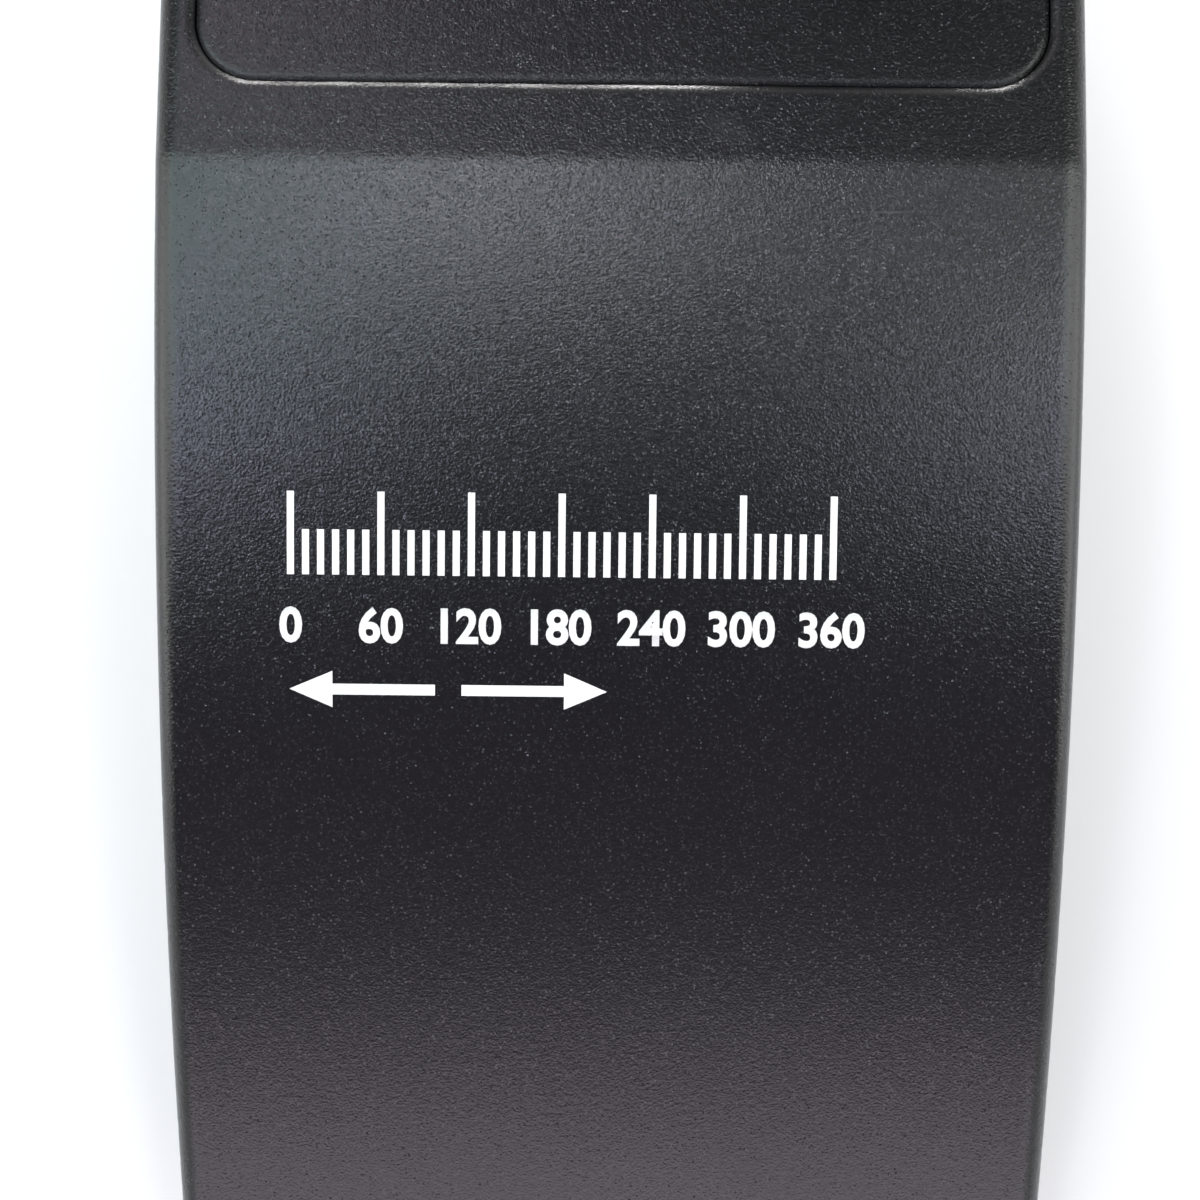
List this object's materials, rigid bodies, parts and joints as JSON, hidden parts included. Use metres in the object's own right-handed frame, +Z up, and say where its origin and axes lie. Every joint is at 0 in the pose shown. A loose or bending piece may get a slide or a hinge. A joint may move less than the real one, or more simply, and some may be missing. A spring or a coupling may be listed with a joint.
{
  "type": "antenna rotator controller",
  "caption": "Black desktop console with a long curved apron, a sunken control panel with a direction dial, keys and a display, and rear screw terminals and mains socket.",
  "frame": {"origin": "on the table under the middle of the overall length and width, level with the undersides of the feet", "axes": "+X to the user's right, +Y to the back where the terminals are, +Z up"},
  "size_m": [0.112, 0.222, 0.0828],
  "materials": {
    "casing": "black ABS moulding with a fine spark-eroded texture",
    "panel": "black ABS moulding with the casing's texture",
    "rear_plate": "black moulded plate",
    "foot": "matt moulded rubber",
    "smoked_lens": "smoked red acrylic, polished",
    "knob": "satin black phenolic, fluted",
    "white_mark": "white filled line",
    "dial": "satin black ring with a white printed scale",
    "grey_key": "satin moulded key cap",
    "red_key": "satin moulded key cap",
    "steel": "zinc plated steel",
    "contact": "nickel plated brass",
    "housing": "black moulded nylon",
    "terminal_body": "black phenolic moulding",
    "board": "green glass fibre board",
    "display": "dark display blocks with red segments",
    "relay": "blue moulded case",
    "can": "drawn can",
    "sink": "extruded",
    "fuse_glass": "glass tube with plated caps",
    "nylon": "natural nylon",
    "ribbon": "grey ribbon cable",
    "laminations": "varnished steel laminations",
    "winding": "yellow tape over copper",
    "lead": "insulated wire"
  },
  "bodies": {
    "console": {"board_connectors": "nylon", "bridge_rectifier": "housing", "capacitor_straps": "nylon", "case_screws": "steel", "coil_leads": "lead", "control_board": "board", "control_board_screws": "steel", "control_panel": "panel", "crystal": "can", "dial_ring": "dial", "display_window": "smoked_lens", "encoder": "housing", "encoder_nut": "steel", "fuse": "fuse_glass", "fuse_clips": "contact", "heat_sink": "sink", "infrared_receiver": "housing", "inlet_pins": "contact", "led_digits": "display", "lower_shell": "casing", "main_board": "board", "main_board_screws": "steel", "mains_inlet": "housing", "mains_leads": "lead", "microcontroller": "housing", "motor_capacitor": "can", "rear_panel": "rear_plate", "relays": "relay", "reservoir_capacitor": "can", "ribbon_cable": "ribbon", "rotator_leads": "lead", "rubber_feet": "foot", "tact_switches": "housing", "terminal_block": "terminal_body", "terminal_plates": "contact", "transformer_bobbin": "nylon", "transformer_bracket": "steel", "transformer_core": "laminations", "transformer_screws": "steel", "transformer_winding": "winding", "upper_shell": "casing", "voltage_regulator": "housing"},
    "knob": {"direction_knob": "knob", "knob_pointer": "white_mark", "knob_set_screw": "steel", "encoder_shaft": "steel"},
    "power_key": {"power_key": "red_key"},
    "turn_left_key": {"turn_left_key": "grey_key"},
    "turn_right_key": {"turn_right_key": "grey_key"},
    "set_key": {"set_key": "grey_key"},
    "memory_key_1": {"memory_key_1": "grey_key"},
    "memory_key_2": {"memory_key_2": "grey_key"},
    "memory_key_3": {"memory_key_3": "grey_key"},
    "memory_key_4": {"memory_key_4": "grey_key"},
    "clamp_washer_1": {"clamp_washer_1": "contact"},
    "terminal_screw_1": {"terminal_screw_1": "steel"},
    "clamp_washer_2": {"clamp_washer_2": "contact"},
    "terminal_screw_2": {"terminal_screw_2": "steel"},
    "clamp_washer_3": {"clamp_washer_3": "contact"},
    "terminal_screw_3": {"terminal_screw_3": "steel"}
  },
  "joints": [
    {"name": "knob_turn", "type": "hinge", "parent": "console", "child": "knob", "pos_m": [0.0265, 0.06389, 0.06721], "axis": [0, -0.0698, 0.9976], "continuous": true},
    {"name": "power_key_press", "type": "slide", "parent": "console", "child": "power_key", "axis": [0, 0.0698, -0.9976], "range_m": [0, 0.0008], "stiffness_N_per_m": 800, "springref_m": -0.0008},
    {"name": "turn_left_key_press", "type": "slide", "parent": "console", "child": "turn_left_key", "axis": [0, 0.0698, -0.9976], "range_m": [0, 0.0008], "stiffness_N_per_m": 800, "springref_m": -0.0008},
    {"name": "turn_right_key_press", "type": "slide", "parent": "console", "child": "turn_right_key", "axis": [0, 0.0698, -0.9976], "range_m": [0, 0.0008], "stiffness_N_per_m": 800, "springref_m": -0.0008},
    {"name": "set_key_press", "type": "slide", "parent": "console", "child": "set_key", "axis": [0, 0.0698, -0.9976], "range_m": [0, 0.0008], "stiffness_N_per_m": 800, "springref_m": -0.0008},
    {"name": "memory_key_1_press", "type": "slide", "parent": "console", "child": "memory_key_1", "axis": [0, 0.0698, -0.9976], "range_m": [0, 0.0008], "stiffness_N_per_m": 800, "springref_m": -0.0008},
    {"name": "memory_key_2_press", "type": "slide", "parent": "console", "child": "memory_key_2", "axis": [0, 0.0698, -0.9976], "range_m": [0, 0.0008], "stiffness_N_per_m": 800, "springref_m": -0.0008},
    {"name": "memory_key_3_press", "type": "slide", "parent": "console", "child": "memory_key_3", "axis": [0, 0.0698, -0.9976], "range_m": [0, 0.0008], "stiffness_N_per_m": 800, "springref_m": -0.0008},
    {"name": "memory_key_4_press", "type": "slide", "parent": "console", "child": "memory_key_4", "axis": [0, 0.0698, -0.9976], "range_m": [0, 0.0008], "stiffness_N_per_m": 800, "springref_m": -0.0008},
    {"name": "washer_1_slide", "type": "slide", "parent": "console", "child": "clamp_washer_1", "axis": [0, 1, 0], "range_m": [0, 0.002]},
    {"name": "screw_1_turn", "type": "hinge", "parent": "clamp_washer_1", "child": "terminal_screw_1", "pos_m": [-0.0345, 0.1066, 0.03], "axis": [0, 1, 0], "range_deg": [0, 1440]},
    {"name": "washer_2_slide", "type": "slide", "parent": "console", "child": "clamp_washer_2", "axis": [0, 1, 0], "range_m": [0, 0.002]},
    {"name": "screw_2_turn", "type": "hinge", "parent": "clamp_washer_2", "child": "terminal_screw_2", "pos_m": [-0.025, 0.1066, 0.03], "axis": [0, 1, 0], "range_deg": [0, 1440]},
    {"name": "washer_3_slide", "type": "slide", "parent": "console", "child": "clamp_washer_3", "axis": [0, 1, 0], "range_m": [0, 0.002]},
    {"name": "screw_3_turn", "type": "hinge", "parent": "clamp_washer_3", "child": "terminal_screw_3", "pos_m": [-0.0155, 0.1066, 0.03], "axis": [0, 1, 0], "range_deg": [0, 1440]}
  ],
  "couplings": [
    {"joint": "screw_1_turn", "follows": "washer_1_slide", "rad_per_m": 12566},
    {"joint": "screw_2_turn", "follows": "washer_2_slide", "rad_per_m": 12566},
    {"joint": "screw_3_turn", "follows": "washer_3_slide", "rad_per_m": 12566}
  ]
}
